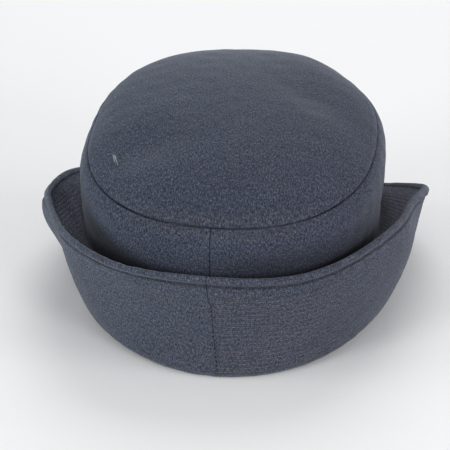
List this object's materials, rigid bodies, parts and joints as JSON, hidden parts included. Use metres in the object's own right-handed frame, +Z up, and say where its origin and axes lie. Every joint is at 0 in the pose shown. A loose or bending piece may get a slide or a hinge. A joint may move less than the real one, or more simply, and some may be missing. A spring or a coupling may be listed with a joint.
{
  "type": "women's military dress hat",
  "caption": "Soft cloth dress hat with a domed oval crown, a side band and a row-stitched brim turned up behind and beside, sloping down as a short peak in front.",
  "frame": {"origin": "middle of the overall box in plan, on the surface that the hat rests on", "axes": "+Z up, -Y the front of the hat, +X the wearer's left"},
  "size_m": [0.2318, 0.2752, 0.1336],
  "materials": {
    "tip_cloth": "matte slate-navy heathered wool blend",
    "side_cloth": "matte slate-navy heathered wool blend",
    "brim_cloth": "matte slate-navy heathered wool blend, stitched in close rows"
  },
  "bodies": {
    "root": {"crown_tip": "tip_cloth", "crown_side": "side_cloth", "brim": "brim_cloth"}
  },
  "joints": []
}
